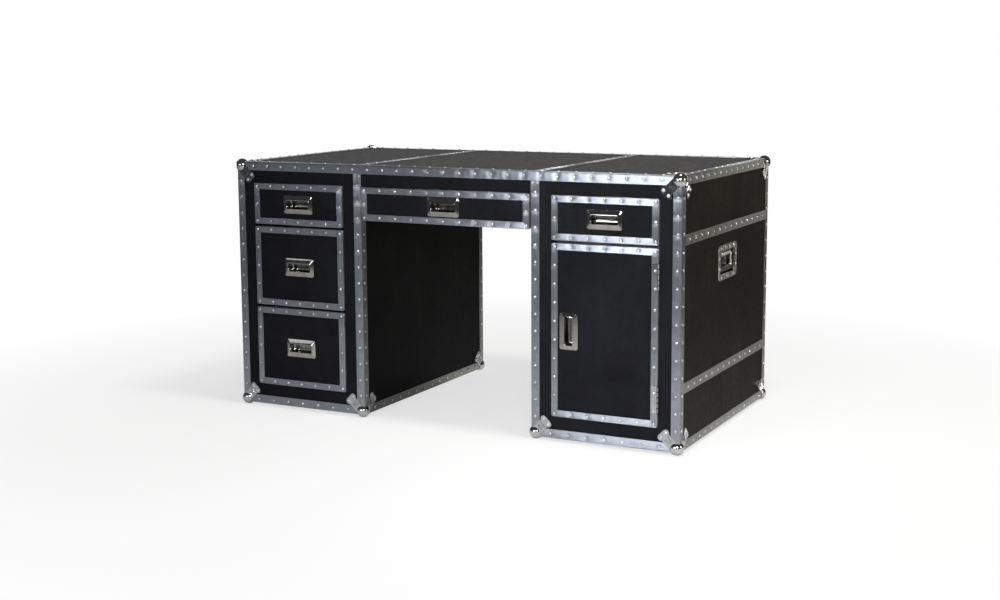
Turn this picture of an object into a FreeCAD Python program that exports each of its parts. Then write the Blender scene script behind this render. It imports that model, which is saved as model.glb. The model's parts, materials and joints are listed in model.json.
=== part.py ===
import FreeCAD, Part
import math
import os

# A trunk-style pedestal desk: leather-covered boards with riveted metal edges and ball corners.
# X runs along the desk, Y from the front (-) to the back (+), Z up. The origin is on the floor
# under the middle of the desk. Lengths are in millimetres.

# Overall box, outside the metal edges
desk_width = 1500.0
desk_depth = 800.0
desk_height = 780.0
pedestal_width = 462.0

# Boards
top_thick = 22.0
side_thick = 18.0
back_thick = 12.0
floor_thick = 18.0
divider_thick = 18.0
apron_thick = 18.0
frame_thick = 22.0
front_thick = 22.0

# Coverings
leather_thick = 1.5
leather_swell = 0.3
swell_edge = 1.0
strip_thick = 1.5
strip_width = 27.0
strip_round = 1.2
band_width = 30.0
band_inset = 180.0

# Openings in the face frames and the fronts that fill them
stile_width = 65.0
bottom_rail = 65.5
top_rail = 63.5
reveal = 1.5
front_gap = 6.5
shallow_front = 131.0
centre_front = 104.0
centre_side_gap = 3.0
front_proud = 3.0

# Metal trim round each front
trim_width = 20.5
trim_thick = 1.5
trim_wall = 1.2
trim_lip = 12.0
trim_corner = 4.0

# Dish pulls
pull_long = 108.0
pull_high = 57.0
pull_corner = 7.0
pull_bezel = 12.5
pull_top_bezel = 15.5
pull_rim = 0.8
pull_rise = 4.0
pull_land = 1.2
pull_land_corner = 2.0
pull_depth = 24.0
pull_wall = 1.2
pull_round = 6.0
pull_clear = 0.4
door_pull_inset = 55.0

# Drawer boxes and runners
box_back_gap = 58.5
box_wall = 12.0
box_bottom_thick = 6.0
box_bottom_raise = 8.0
box_drop = 22.0
box_head = 22.0
box_side_gap = 4.0
centre_box_gap = 24.0
ledge_thick = 15.0
ledge_reach = 14.0
guide_high = 20.0
run_clear = 0.3

# Ball corners
ball_radius = 21.0
ball_inset = 12.0
leg_thick = 1.6
leg_neck = 30.0
lobe_near = 41.0
lobe_far = 56.0
lobe_radius = 10.0

# Door hinges, catch and strike
hinge_high = 78.0
hinge_inset = 81.0
knuckle_radius = 3.0
knuckle_count = 5
knuckle_gap = 0.3
pin_radius = 1.5
pin_clear = 0.05
pin_head_radius = 2.5
pin_head_high = 1.5
leaf_thick = 1.2
leaf_gap = 0.6
leaf_width = 22.0
face_leaf_width = 19.0
face_leaf_corner = 4.0
pivot_lead = 1.2
barrel_clear = 0.4
catch_long = 46.0
catch_high = 14.0
catch_deep = 18.0
catch_inset = 12.0
strike_thick = 1.5
catch_gap = 0.3

# Carrying handles let into the two ends
dish_long = 170.0
dish_high = 105.0
dish_corner = 18.0
dish_flange = 17.0
dish_flange_thick = 1.5
dish_depth = 16.0
dish_wall = 1.2
dish_inner_corner = 10.0
dish_clear = 0.4
dish_drop = 283.5
wire_radius = 4.0
bail_span = 104.0
bail_reach = 46.0
bail_bend = 9.0
bail_head = 12.0
axle_lift = 8.5
axle_clear = 0.3
saddle_long = 70.0
saddle_wall = 1.2
saddle_foot = 5.0
grip_radius = 8.0
grip_clear = 0.1
grip_end_gap = 2.0
grip_round = 2.0

# Every cut runs past the piece it cuts by this much
overrun = 5.0

# Levels and planes that the pieces share
half_width = desk_width / 2
half_depth = desk_depth / 2
knee_face = half_width - pedestal_width
box_bottom = ball_radius - ball_inset
box_top = box_bottom + desk_height
cover = strip_thick + leather_thick
skin_out = half_width - strip_thick
skin_knee = knee_face + strip_thick
skin_front = strip_thick - half_depth
skin_back = half_depth - strip_thick
skin_top = box_top - strip_thick
board_out = half_width - cover
board_knee = knee_face + cover
board_front = cover - half_depth
board_back = half_depth - cover
board_top = box_top - cover
board_foot = box_bottom + strip_thick
top_under = board_top - top_thick
frame_back = board_front + frame_thick
back_inside = board_back - back_thick
side_out = board_out - side_thick
side_knee = board_knee + side_thick
open_in = knee_face + stile_width
open_out = half_width - stile_width
open_low = box_bottom + bottom_rail
open_high = box_top - top_rail
front_face = -half_depth - front_proud
front_back = front_face + leather_thick + front_thick
box_length = board_back - max(back_thick, apron_thick) - box_back_gap - front_back
front_wide = open_out - open_in - 2 * reveal
front_top = open_high - reveal
deep_front = (front_top - open_low - reveal - shallow_front - 2 * front_gap) / 2
low_row = open_low + reveal
middle_row = low_row + deep_front + front_gap
top_row = front_top - shallow_front
centre_row = front_top - centre_front
door_high = 2 * deep_front + front_gap
pedestal_middle = (open_in + open_out) / 2
divider_top = top_row + box_drop - run_clear - ledge_thick
divider_under = divider_top - divider_thick
mouth_long = pull_long - 2 * pull_bezel
mouth_high = pull_high - 2 * pull_top_bezel
hinge_x = open_out - reveal / 2
hinge_y = front_face - trim_thick - pivot_lead
dish_level = box_top - dish_drop
dish_inner_long = dish_long - 2 * dish_flange
dish_inner_high = dish_high - 2 * dish_flange
axle_up = dish_inner_high / 2 - bail_head
axle_level = axle_lift - dish_depth
grip_down = axle_up - bail_reach

AXIS_X = FreeCAD.Vector(1, 0, 0)
AXIS_Y = FreeCAD.Vector(0, 1, 0)
AXIS_Z = FreeCAD.Vector(0, 0, 1)
CENTRE = FreeCAD.Vector(0, 0, 0)


# Basic shapes

def board(x, y, z):
    """A rectangular block between the pairs of limits along X, Y and Z."""
    corner = FreeCAD.Vector(x[0], y[0], z[0])
    return Part.makeBox(x[1] - x[0], y[1] - y[0], z[1] - z[0], corner)


def block(long, high, low, level):
    """A rectangular block centred on Z, between two heights."""
    return board((-long / 2, long / 2), (-high / 2, high / 2), (low, level))


def mirrored(shapes):
    """The same pieces on the other end of the desk."""
    return [shape.mirror(CENTRE, AXIS_X) for shape in shapes]


def rounded_outline(long, high, corner, level):
    """A closed rectangle with round corners, centred on Z at a height."""
    reach = long / 2 - corner
    rise = high / 2 - corner
    centres = [(reach, rise), (-reach, rise), (-reach, -rise), (reach, -rise)]

    def point(quarter, turn):
        across, up = centres[quarter % 4]
        angle = math.radians(90 * quarter + turn)
        return FreeCAD.Vector(across + corner * math.cos(angle), up + corner * math.sin(angle), level)

    edges = []
    for quarter in range(4):
        edges.append(Part.Arc(point(quarter, 0), point(quarter, 45), point(quarter, 90)).toShape())
        edges.append(Part.makeLine(point(quarter, 90), point(quarter + 1, 0)))
    return Part.Wire(edges)


def slab(long, high, corner, low, level):
    """A plate with round corners, centred on Z, between two heights."""
    face = Part.Face(rounded_outline(long, high, corner, low))
    return face.extrude(AXIS_Z * (level - low))


def on_front(shape, x, z):
    """Carry a piece drawn face up to the plane of the drawer fronts."""
    turn = FreeCAD.Rotation(AXIS_X, 90)
    place = FreeCAD.Placement(FreeCAD.Vector(x, front_face, z), turn)
    placed = shape.copy()
    placed.Placement = place.multiply(shape.Placement)
    return placed


def on_end(shape):
    """Carry a piece drawn face up to the handle's place on the right-hand end."""
    turn = FreeCAD.Rotation(AXIS_X + AXIS_Y + AXIS_Z, 120)
    place = FreeCAD.Placement(FreeCAD.Vector(skin_out, 0, dish_level), turn)
    placed = shape.copy()
    placed.Placement = place.multiply(shape.Placement)
    return placed


# Carcass boards

def top_board():
    return [board((-board_out, board_out), (board_front, board_back), (top_under, board_top))]


def outer_side():
    """The end board, cut through for the carrying handle."""
    whole = board((side_out, board_out), (frame_back, back_inside), (board_foot, top_under))
    return [whole.cut(handle_hole())]


def pedestal_boards():
    """Kneehole side, back and floor of the right-hand pedestal."""
    knee_side = board((board_knee, side_knee), (frame_back, back_inside), (board_foot, top_under))
    back = board((board_knee, board_out), (back_inside, board_back), (board_foot, top_under))
    floor = board((side_knee, side_out), (frame_back, back_inside), (board_foot, board_foot + floor_thick))
    return [knee_side, back, floor]


def cupboard_divider():
    return board((side_knee, side_out), (frame_back, back_inside), (divider_under, divider_top))


def face_frame():
    """Two stiles and two rails round the opening of the right-hand pedestal."""
    depth = (board_front, frame_back)
    knee_stile = board((board_knee, open_in), depth, (board_foot, top_under))
    outer_stile = board((open_out, board_out), depth, (board_foot, top_under))
    low_rail = board((open_in, open_out), depth, (board_foot, open_low))
    high_rail = board((open_in, open_out), depth, (open_high, top_under))
    return [knee_stile, outer_stile, low_rail, high_rail]


def centre_rails():
    """Front rail over the centre drawer and the apron behind it."""
    across = (-skin_knee, skin_knee)
    rail = board(across, (board_front, frame_back), (open_high, top_under))
    apron = board(across, (board_back - apron_thick, board_back), (centre_row, top_under))
    return [rail, apron]


# Leather

def top_leather():
    """Three panels that meet under the strips across the top, each swelling where no strip presses it."""
    seam = knee_face + strip_width / 2
    clear_out = half_width - strip_width
    clear_in = knee_face + strip_width
    clear_depth = half_depth - strip_width - swell_edge
    sheets = [(-skin_out, -seam), (-seam, seam), (seam, skin_out)]
    fields = [(-clear_out, -clear_in), (-knee_face, knee_face), (clear_in, clear_out)]
    panels = []
    for sheet, field in zip(sheets, fields):
        pressed = board(sheet, (skin_front, skin_back), (board_top, skin_top))
        across = (field[0] + swell_edge, field[1] - swell_edge)
        swell = board(across, (-clear_depth, clear_depth), (skin_top, skin_top + leather_swell))
        panels.append(pressed.fuse(swell))
    return panels


def pedestal_leather():
    """Leather on the four faces of the right-hand pedestal."""
    front = (skin_front, board_front)
    knee_strip = board((skin_knee, open_in), front, (board_foot, board_top))
    outer_strip = board((open_out, skin_out), front, (board_foot, board_top))
    low_strip = board((open_in, open_out), front, (board_foot, open_low))
    high_strip = board((open_in, open_out), front, (open_high, board_top))
    end = board((board_out, skin_out), (board_front, board_back), (board_foot, board_top))
    knee = board((skin_knee, board_knee), (board_front, board_back), (board_foot, top_under))
    back = board((skin_knee, skin_out), (board_back, skin_back), (board_foot, board_top))
    return [knee_strip, outer_strip, low_strip, high_strip, end.cut(handle_hole()), knee, back]


def centre_leather():
    """Leather on the front rail and on the apron."""
    across = (-skin_knee, skin_knee)
    rail = board(across, (skin_front, board_front), (open_high, board_top))
    apron = board(across, (board_back, skin_back), (centre_row, board_top))
    return [rail, apron]


# Metal edges

def coordinates(run, into, across, values):
    """A point from its three coordinates, given in any order of the axes."""
    place = [0, 0, 0]
    place[run], place[into], place[across] = values
    return FreeCAD.Vector(*place)


def mitre_wedge(extent, run, into, side, across):
    """The space of one strip between its two mitres, seen square to a face."""
    start, end = extent[run]
    face = extent[into][side]
    inner = face + strip_width * (1 - 2 * side)
    base, far = extent[across]
    outline = [(start, face), (end, face), (end - strip_width, inner), (start + strip_width, inner)]
    points = [coordinates(run, into, across, (along, depth, base)) for along, depth in outline]
    wire = Part.makePolygon(points + points[:1])
    return Part.Face(wire).extrude(coordinates(run, into, across, (0, 0, far - base)))


def flange(extent, run, into, into_side, across, across_side):
    """One leaf of an edge angle: thin along one axis and as wide as the strip along another."""
    limits = [None, None, None]
    limits[run] = extent[run]
    for axis, side, size in ((into, into_side, strip_thick), (across, across_side, strip_width)):
        face = extent[axis][side]
        limits[axis] = (face, face + size) if side == 0 else (face - size, face)
    return board(*limits)


def edge_angle(extent, run, first, first_side, second, second_side):
    """An angle strip along one edge of a box, mitred at both ends and eased along its corner."""
    thin_first = flange(extent, run, first, first_side, second, second_side)
    thin_second = flange(extent, run, second, second_side, first, first_side)
    angle = thin_first.fuse(thin_second).removeSplitter()
    corner = []
    for edge in angle.Edges:
        middle = edge.CenterOfMass
        on_first = abs(middle[first] - extent[first][first_side]) < strip_round / 2
        on_second = abs(middle[second] - extent[second][second_side]) < strip_round / 2
        if on_first and on_second:
            corner.append(edge)
    angle = angle.makeFillet(strip_round, corner)
    angle = angle.common(mitre_wedge(extent, run, first, first_side, second))
    return angle.common(mitre_wedge(extent, run, second, second_side, first))


def top_edges():
    """Angles round the top and the two strips across it."""
    extent = [(-half_width, half_width), (-half_depth, half_depth), (box_bottom, box_top)]
    angles = [edge_angle(extent, 0, 1, side, 2, 1) for side in (0, 1)]
    angles += [edge_angle(extent, 1, 0, side, 2, 1) for side in (0, 1)]
    inner = half_depth - strip_width
    for start in (-knee_face - strip_width, knee_face):
        angles.append(board((start, start + strip_width), (-inner, inner), (skin_top, box_top)))
    return angles


def pedestal_edges():
    """Angles on the upright and bottom edges of the right-hand pedestal."""
    extent = [(knee_face, half_width), (-half_depth, half_depth), (box_bottom, box_top)]
    angles = [edge_angle(extent, 2, 0, 1, 1, side) for side in (0, 1)]
    angles += [edge_angle(extent, 0, 1, side, 2, 0) for side in (0, 1)]
    angles += [edge_angle(extent, 1, 0, side, 2, 0) for side in (0, 1)]
    tall = [extent[0], extent[1], (box_bottom, box_top + strip_width + overrun)]
    above_top = board((knee_face - overrun, half_width), (-half_depth - overrun, half_depth + overrun),
                      (box_top - strip_width, box_top + 2 * strip_width + overrun))
    above_drawer = board((knee_face - overrun, skin_knee), (skin_front, 0), (open_high, box_top))
    above_apron = board((knee_face - overrun, skin_knee), (0, skin_back), (centre_row, box_top))
    for side, spare in ((0, above_drawer), (1, above_apron)):
        angles.append(edge_angle(tall, 2, 0, 0, 1, side).cut(above_top).cut(spare))
    return angles


def side_bands():
    """Two flat bands across the right-hand end."""
    inner = half_depth - strip_width
    bands = []
    for centre in (box_bottom + band_inset, box_top - band_inset):
        height = (centre - band_width / 2, centre + band_width / 2)
        bands.append(board((skin_out, half_width), (-inner, inner), height))
    return bands


# Ball corners

def corner_leg():
    """One leg, flat on a face, along the diagonal from the corner."""
    reach = math.sqrt(0.5) * (lobe_near + lobe_far)
    spread = math.sqrt(0.5) * (lobe_far - lobe_near)
    start = math.sqrt(2) * ball_inset
    neck = board((start, reach), (-leg_neck / 2, leg_neck / 2), (0, leg_thick))
    pad = board((reach - lobe_radius, reach + lobe_radius), (-spread, spread), (0, leg_thick))
    leg = neck.fuse(pad)
    for side in (-spread, spread):
        leg = leg.fuse(Part.makeCylinder(lobe_radius, leg_thick, FreeCAD.Vector(reach, side, 0)))
    leg = leg.removeSplitter()
    leg.rotate(CENTRE, AXIS_Z, 225)
    return leg


def ball_corner():
    """A ball with three legs, on a corner whose faces look along +X, +Y and +Z."""
    ball = Part.makeSphere(ball_radius, FreeCAD.Vector(-ball_inset, -ball_inset, -ball_inset))
    inside = board((-half_depth, 0), (-half_depth, 0), (-half_depth, 0))
    corner = ball.cut(inside)
    for turn in (0, 120, 240):
        leg = corner_leg()
        leg.rotate(CENTRE, AXIS_X + AXIS_Y + AXIS_Z, turn)
        corner = corner.fuse(leg)
    return corner.removeSplitter()


def placed_corner(x, y, z, signs):
    """A ball corner turned to look outwards along the given signs of X, Y and Z."""
    corner = ball_corner()
    for axis, sign in zip((AXIS_X, AXIS_Y, AXIS_Z), signs):
        if sign < 0:
            corner = corner.mirror(CENTRE, axis)
    corner.translate(FreeCAD.Vector(x, y, z))
    return corner


def ball_corners():
    """Four corners round the top and four under each pedestal."""
    corners = []
    for y_sign in (-1, 1):
        y = y_sign * half_depth
        for x_sign in (-1, 1):
            corners.append(placed_corner(x_sign * half_width, y, box_top, (x_sign, y_sign, 1)))
            corners.append(placed_corner(x_sign * half_width, y, box_bottom, (x_sign, y_sign, -1)))
            corners.append(placed_corner(x_sign * knee_face, y, box_bottom, (-x_sign, y_sign, -1)))
    return corners


# Drawer and door fronts, drawn face up with the leather's face at zero

def pull_cup(extra, top):
    """A trough with rounded floor edges, larger than the pull's mouth by a margin all round."""
    high = mouth_high / 2 + extra
    low = -pull_depth - extra
    curve = pull_round + extra
    bend = curve * (1 - math.sqrt(0.5))
    start = -mouth_long / 2 - extra

    def point(y, z):
        return FreeCAD.Vector(start, y, z)

    left_arc = [point(-high, low + curve), point(bend - high, low + bend), point(curve - high, low)]
    right_arc = [point(high - curve, low), point(high - bend, low + bend), point(high, low + curve)]
    edges = [
        Part.makeLine(point(-high, top), left_arc[0]),
        Part.Arc(*left_arc).toShape(),
        Part.makeLine(left_arc[-1], right_arc[0]),
        Part.Arc(*right_arc).toShape(),
        Part.makeLine(right_arc[-1], point(high, top)),
        Part.makeLine(point(high, top), point(-high, top)),
    ]
    return Part.Face(Part.Wire(edges)).extrude(AXIS_X * (mouth_long + 2 * extra))


def dish_pull():
    """A bevelled frame round a deep finger cup, in one piece."""
    rim = slab(pull_long, pull_high, pull_corner, 0, pull_rim)
    foot = rounded_outline(pull_long, pull_high, pull_corner, pull_rim)
    ridge_long = mouth_long + 2 * pull_land
    ridge_high = mouth_high + 2 * pull_land
    ridge = rounded_outline(ridge_long, ridge_high, pull_land_corner, pull_rise)
    bezel = Part.makeLoft([foot, ridge], True, True)
    whole = rim.fuse(bezel).fuse(pull_cup(pull_wall, 0))
    return whole.cut(pull_cup(0, pull_rise + overrun)).removeSplitter()


def pull_hole(low, level):
    """The hole that a pull's cup drops into."""
    margin = 2 * (pull_wall + pull_clear)
    return block(mouth_long + margin, mouth_high + margin, low, level)


def front_trim(wide, high):
    """Four mitred strips that cap the face and edges of a front."""
    face = slab(wide, high, trim_corner, 0, trim_thick)
    window = block(wide - 2 * trim_width, high - 2 * trim_width, 0, trim_thick)
    lip = slab(wide, high, trim_corner, -trim_lip, 0)
    core = slab(wide - 2 * trim_wall, high - 2 * trim_wall, trim_corner - trim_wall, -trim_lip, 0)
    frame = face.cut(window).fuse(lip.cut(core)).removeSplitter()
    strips = []
    for long, deep, turn in ((wide, high, 0), (high, wide, 90), (wide, high, 180), (high, wide, 270)):
        outer = FreeCAD.Vector(long / 2, deep / 2, -trim_lip)
        inner = FreeCAD.Vector(long / 2 - trim_width, deep / 2 - trim_width, -trim_lip)
        points = [outer, inner]
        points += [FreeCAD.Vector(-point.x, point.y, point.z) for point in (inner, outer)]
        wedge = Part.Face(Part.makePolygon(points + points[:1])).extrude(AXIS_Z * (trim_lip + trim_thick))
        wedge.rotate(CENTRE, AXIS_Z, turn)
        strips.append(frame.common(wedge))
    return strips


def front_panel(wide, high, low, level, hole):
    """A front's board or leather between two heights, with a hole for its pull."""
    panel = slab(wide - 2 * trim_wall, high - 2 * trim_wall, trim_corner - trim_wall, low, level)
    return panel.cut(hole)


def front_pieces(wide, high, pull_across, pull_turn):
    """Board, leather, trim and pull of one front, all face up."""
    hole = pull_hole(-leather_thick - front_thick - overrun, overrun)
    pull = dish_pull()
    for piece in (hole, pull):
        piece.rotate(CENTRE, AXIS_Z, pull_turn)
        piece.translate(AXIS_X * pull_across)
    return {
        "front": [front_panel(wide, high, -leather_thick - front_thick, -leather_thick, hole)],
        "leather": [front_panel(wide, high, -leather_thick, 0, hole)],
        "trim": front_trim(wide, high),
        "pull": [pull],
    }


def placed_front(wide, high, middle, bottom, pull_across, pull_turn):
    """The pieces of a front at its place, by kind."""
    pieces = front_pieces(wide, high, pull_across, pull_turn)
    centre = bottom + high / 2
    return {kind: [on_front(shape, middle, centre) for shape in shapes] for kind, shapes in pieces.items()}


# Drawers

def drawer_box(middle, wide, low, high):
    """Two sides, back and bottom of a drawer, fixed behind its front."""
    left = middle - wide / 2
    right = middle + wide / 2
    end = front_back + box_length
    inner = (left + box_wall, right - box_wall)
    tray = low + box_bottom_raise
    return [
        board((left, left + box_wall), (front_back, end), (low, high)),
        board((right - box_wall, right), (front_back, end), (low, high)),
        board(inner, (end - box_wall, end), (low, high)),
        board(inner, (front_back, end - box_wall), (tray, tray + box_bottom_thick)),
    ]


def runner_pair(middle, wide, wall, bottom, start, end):
    """A ledge under each side of a drawer and a guide beside it, fixed to the walls on both hands."""
    top = bottom + box_drop - run_clear
    half = wide / 2
    pieces = []
    for hand in (-1, 1):
        ledge = sorted((middle + hand * (half - ledge_reach), middle + hand * wall))
        guide = sorted((middle + hand * (half + run_clear), middle + hand * wall))
        pieces.append(board(ledge, (start, end), (top - ledge_thick, top)))
        pieces.append(board(guide, (start, end), (top, top + guide_high)))
    return pieces


def drawer(middle, front, box, bottom, high):
    """All pieces of one drawer, by kind."""
    pieces = placed_front(front, high, middle, bottom, 0, 0)
    pieces["box"] = drawer_box(middle, box, bottom + box_drop, bottom + high - box_head)
    return pieces


# Door and its hinges

def hinge_levels():
    """Heights of the middle of each hinge."""
    return (low_row + hinge_inset, low_row + door_high - hinge_inset)


def barrel(radius, low, high):
    """A cylinder on the hinge line between two heights."""
    return Part.makeCylinder(radius, high - low, FreeCAD.Vector(hinge_x, hinge_y, low))


def hinge_span(level):
    """Heights of the foot and head of a hinge."""
    return level - hinge_high / 2, level + hinge_high / 2


def edge_leaf(level):
    """The plate of a leaf let into the stile's edge, which is also the shape of its seat."""
    near = hinge_x + leaf_gap / 2
    return board((near, near + leaf_thick), (hinge_y, hinge_y + leaf_width), hinge_span(level))


def face_leaf(level):
    """The plate of a leaf that lies on the face of the door's trim, with two round corners."""
    near = hinge_x - leaf_gap / 2
    far = near - face_leaf_width
    trim_face = front_face - trim_thick
    plate = board((far, near), (trim_face - leaf_thick, trim_face), hinge_span(level))
    corners = []
    for edge in plate.Edges:
        middle = edge.CenterOfMass
        on_far = middle.x - far < face_leaf_width / 4
        through = abs(middle.y - trim_face + leaf_thick / 2) < leaf_thick / 4
        at_end = abs(middle.z - level) > hinge_high / 4
        if on_far and through and at_end:
            corners.append(edge)
    return plate.makeFillet(face_leaf_corner, corners)


def hinge_leaf(leaf, level, first):
    """A leaf's plate with every second knuckle from the first given, bored for the pin."""
    low = level - hinge_high / 2
    step = hinge_high / knuckle_count
    for index in range(knuckle_count):
        start = low + index * step
        if index % 2 == first:
            trim = knuckle_gap / 2
            bottom = start + (trim if index > 0 else 0)
            top = start + step - (trim if index < knuckle_count - 1 else 0)
            leaf = leaf.fuse(barrel(knuckle_radius, bottom, top))
        else:
            leaf = leaf.cut(barrel(knuckle_radius + barrel_clear, start - knuckle_gap / 2,
                                   start + step + knuckle_gap / 2))
    bore = barrel(pin_radius + pin_clear, low - overrun, low + hinge_high + overrun)
    return leaf.cut(bore).removeSplitter()


def hinge_pin(level):
    """A pin with a low head at each end."""
    low = level - hinge_high / 2
    high = level + hinge_high / 2
    pin = barrel(pin_radius, low, high)
    pin = pin.fuse(barrel(pin_head_radius, low - pin_head_high, low))
    return pin.fuse(barrel(pin_head_radius, high, high + pin_head_high))


def knuckle_rooms():
    """Room for the knuckles in the pieces beside them."""
    reach = hinge_high / 2 + pin_head_high + barrel_clear
    return [barrel(knuckle_radius + barrel_clear, level - reach, level + reach) for level in hinge_levels()]


def stile_cuts():
    """Seats for the leaves in the stile, and room for the knuckles."""
    return [edge_leaf(level) for level in hinge_levels()] + knuckle_rooms()


def cut_all(shapes, cuts):
    """Each shape less every cut."""
    finished = []
    for shape in shapes:
        for cut in cuts:
            shape = shape.cut(cut)
        finished.append(shape)
    return finished


def door():
    """All pieces of the cupboard door, by kind."""
    pull_across = door_pull_inset - front_wide / 2
    pieces = placed_front(front_wide, door_high, pedestal_middle, low_row, pull_across, 90)
    for kind in ("front", "leather", "trim"):
        pieces[kind] = cut_all(pieces[kind], knuckle_rooms())
    return pieces


def catch_limits():
    """The catch's place along the door and up the cupboard."""
    start = open_in + reveal + catch_inset
    return (start, start + catch_long), (divider_under - catch_high, divider_under)


def door_catch():
    across, height = catch_limits()
    start = front_back + strike_thick + catch_gap
    return [board(across, (start, start + catch_deep), height)]


def door_strike():
    across, height = catch_limits()
    return [board(across, (front_back, front_back + strike_thick), height)]


# Carrying handles, drawn face up with the leather's face at zero

def handle_dish():
    """A flanged dish with an open mouth."""
    plate = slab(dish_long, dish_high, dish_corner, 0, dish_flange_thick)
    outer_long = dish_inner_long + 2 * dish_wall
    outer_high = dish_inner_high + 2 * dish_wall
    shell = slab(outer_long, outer_high, dish_inner_corner + dish_wall, -dish_depth - dish_wall, 0)
    above = dish_flange_thick + overrun
    hollow = slab(dish_inner_long, dish_inner_high, dish_inner_corner, -dish_depth, above)
    return plate.fuse(shell).cut(hollow).removeSplitter()


def handle_hole():
    """The hole in the end board and its leather that the dish drops into."""
    margin = 2 * (dish_wall + dish_clear)
    corner = dish_inner_corner + dish_wall + dish_clear
    bottom = -side_thick - cover - overrun
    hole = slab(dish_inner_long + margin, dish_inner_high + margin, corner, bottom, overrun)
    return on_end(hole)


def lying_rod(radius, long, y, z):
    """A cylinder along X, centred on its length."""
    return Part.makeCylinder(radius, long, FreeCAD.Vector(-long / 2, y, z), AXIS_X)


def arch(radius, long):
    """A round-topped bar that stands on the dish's floor over the bail's axle."""
    foot = board((-long / 2, long / 2), (axle_up - radius, axle_up + radius), (-dish_depth, axle_level))
    return foot.fuse(lying_rod(radius, long, axle_up, axle_level))


def handle_saddle():
    """A bent strap that holds the bail's axle to the dish's floor."""
    bore = wire_radius + axle_clear
    outside = bore + saddle_wall
    width = outside + saddle_foot
    foot = board((-saddle_long / 2, saddle_long / 2), (axle_up - width, axle_up + width),
                 (-dish_depth, saddle_wall - dish_depth))
    tunnel = arch(bore, saddle_long + 2 * overrun)
    return arch(outside, saddle_long).fuse(foot).cut(tunnel).removeSplitter()


def handle_bail():
    """A closed wire loop: axle, two legs and the bar inside the grip."""
    across = bail_span / 2
    up = bail_reach / 2
    rods = [
        lying_rod(wire_radius, bail_span - 2 * bail_bend, up, 0),
        lying_rod(wire_radius, bail_span - 2 * bail_bend, -up, 0),
    ]
    for side in (-across, across):
        foot = FreeCAD.Vector(side, bail_bend - up, 0)
        rods.append(Part.makeCylinder(wire_radius, bail_reach - 2 * bail_bend, foot, AXIS_Y))
    for quarter, (side, rise) in enumerate(((1, 1), (-1, 1), (-1, -1), (1, -1))):
        centre = FreeCAD.Vector(side * (across - bail_bend), rise * (up - bail_bend), 0)
        bend = Part.makeTorus(bail_bend, wire_radius, CENTRE, AXIS_Z, 0, 360, 90)
        bend.rotate(CENTRE, AXIS_Z, 90 * quarter)
        bend.translate(centre)
        rods.append(bend)
    bail = rods[0].multiFuse(rods[1:]).removeSplitter()
    bail.translate(FreeCAD.Vector(0, axle_up - up, axle_level))
    return bail


def handle_grip():
    """A round sleeve on the lower bar of the bail."""
    long = bail_span - 2 * (bail_bend + grip_end_gap)
    sleeve = lying_rod(grip_radius, long, grip_down, axle_level)
    ends = [edge for edge in sleeve.Edges if isinstance(edge.Curve, Part.Circle)]
    sleeve = sleeve.makeFillet(grip_round, ends)
    return sleeve.cut(lying_rod(wire_radius + grip_clear, long + 2 * overrun, grip_down, axle_level))


# The whole desk, as named groups of solids

def carcass():
    right_boards = pedestal_boards()
    right_frame = face_frame()
    right_leather = pedestal_leather()
    side = outer_side()
    nodes = {
        "top_board": top_board(),
        "top_leather": top_leather(),
        "centre_rails": centre_rails(),
        "centre_leather": centre_leather(),
        "outer_sides": side + mirrored(side),
        "right_pedestal_boards": right_boards + [cupboard_divider()],
        "left_pedestal_boards": mirrored(right_boards),
        "right_face_frame": cut_all(right_frame, stile_cuts()),
        "left_face_frame": mirrored(right_frame),
        "right_leather": cut_all(right_leather, stile_cuts()),
        "left_leather": mirrored(right_leather),
        "top_edge_strips": top_edges(),
        "right_edge_strips": pedestal_edges(),
        "left_edge_strips": mirrored(pedestal_edges()),
        "side_bands": side_bands() + mirrored(side_bands()),
        "ball_corners": ball_corners(),
    }
    return nodes


def drawers_and_runners():
    box = open_out - open_in - 2 * box_side_gap
    wall = (side_out - side_knee) / 2
    runs = (frame_back, back_inside)
    left = -pedestal_middle
    rows = {
        "left_top_drawer": (left, top_row, shallow_front),
        "left_middle_drawer": (left, middle_row, deep_front),
        "left_bottom_drawer": (left, low_row, deep_front),
        "right_drawer": (pedestal_middle, top_row, shallow_front),
    }
    nodes = {"left_drawer_runners": [], "right_drawer_runners": []}
    for name, (middle, bottom, high) in rows.items():
        for kind, shapes in drawer(middle, front_wide, box, bottom, high).items():
            nodes[name + "_" + kind] = shapes
        middle_wall = (side_out + side_knee) / 2
        shift = math.copysign(middle_wall, middle)
        owner = "left_drawer_runners" if middle < 0 else "right_drawer_runners"
        nodes[owner] += runner_pair(shift, box, wall, bottom, *runs)
    centre_wide = 2 * (knee_face - centre_side_gap)
    centre_box = 2 * (skin_knee - centre_box_gap)
    for kind, shapes in drawer(0, centre_wide, centre_box, centre_row, centre_front).items():
        nodes["centre_drawer_" + kind] = shapes
    start = strip_width - half_depth
    end = board_back - apron_thick
    nodes["centre_drawer_runners"] = runner_pair(0, centre_box, skin_knee, centre_row, start, end)
    return nodes


def door_and_hinges():
    nodes = {"door_" + kind: shapes for kind, shapes in door().items()}
    nodes["hinge_frame_leaves"] = [hinge_leaf(edge_leaf(level), level, 0) for level in hinge_levels()]
    nodes["hinge_door_leaves"] = [hinge_leaf(face_leaf(level), level, 1) for level in hinge_levels()]
    nodes["hinge_pins"] = [hinge_pin(level) for level in hinge_levels()]
    nodes["door_catch"] = door_catch()
    nodes["door_strike"] = door_strike()
    return nodes


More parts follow.
